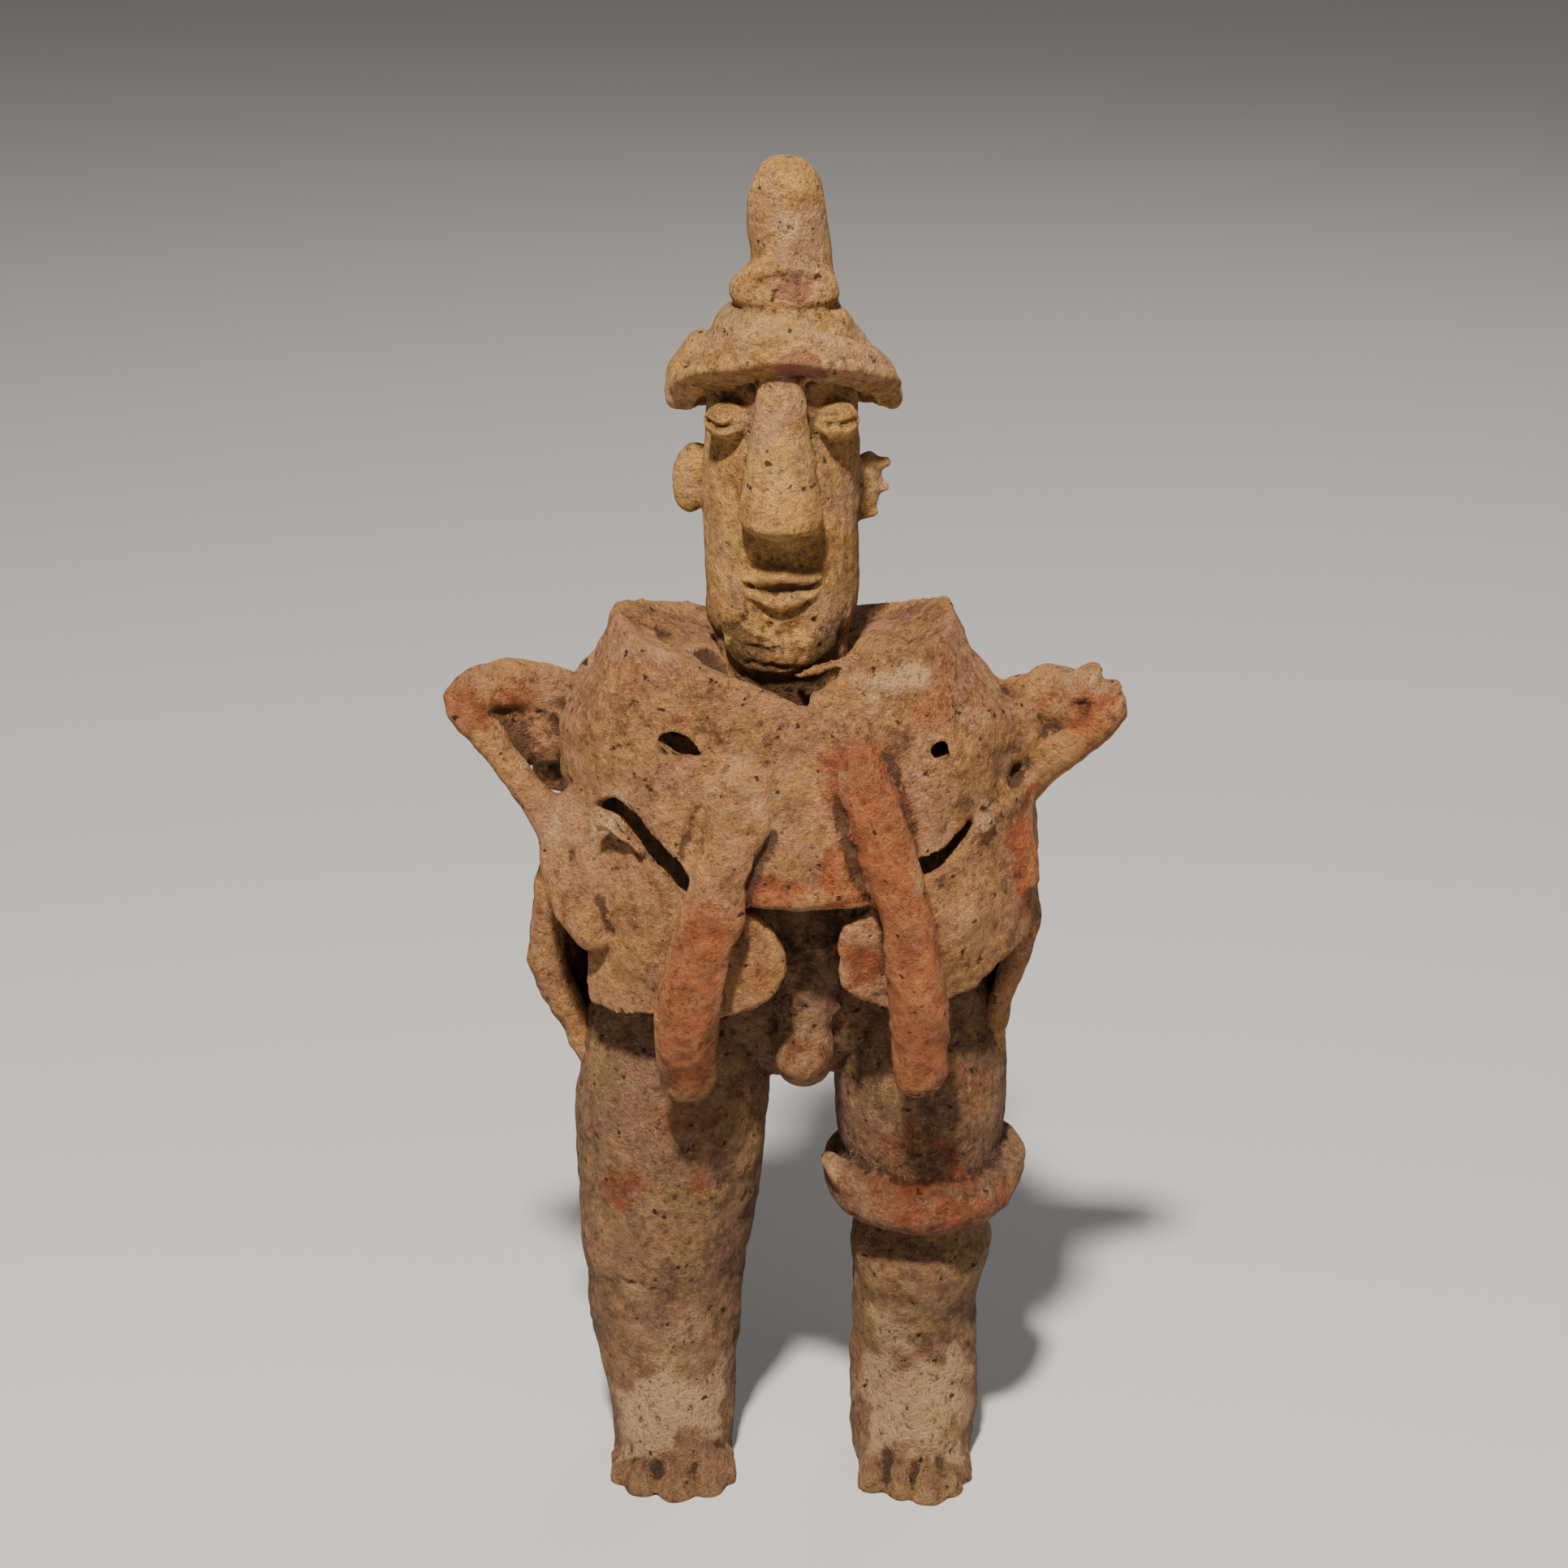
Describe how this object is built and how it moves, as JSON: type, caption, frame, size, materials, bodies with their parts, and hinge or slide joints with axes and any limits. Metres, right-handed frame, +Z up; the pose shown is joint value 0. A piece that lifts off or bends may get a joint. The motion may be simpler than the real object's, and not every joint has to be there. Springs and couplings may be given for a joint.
{
  "type": "terracotta warrior figure",
  "caption": "Standing hand-built clay warrior figure with a horned helmet, stiff chest armour, hanging straps, bent arms and thick legs, fired in one piece.",
  "frame": {"origin": "centre of the bounding box at the height of the flat soles", "axes": "+Z up from the soles to the tip of the horn, the figure faces -Y, +X is on the viewer's right"},
  "size_m": [0.1704, 0.0888, 0.3507],
  "materials": {
    "terracotta": "dry unglazed fired clay, buff to brown with worn red slip, grainy and pitted"
  },
  "bodies": {
    "root": {"warrior_figure": "terracotta"}
  },
  "joints": []
}
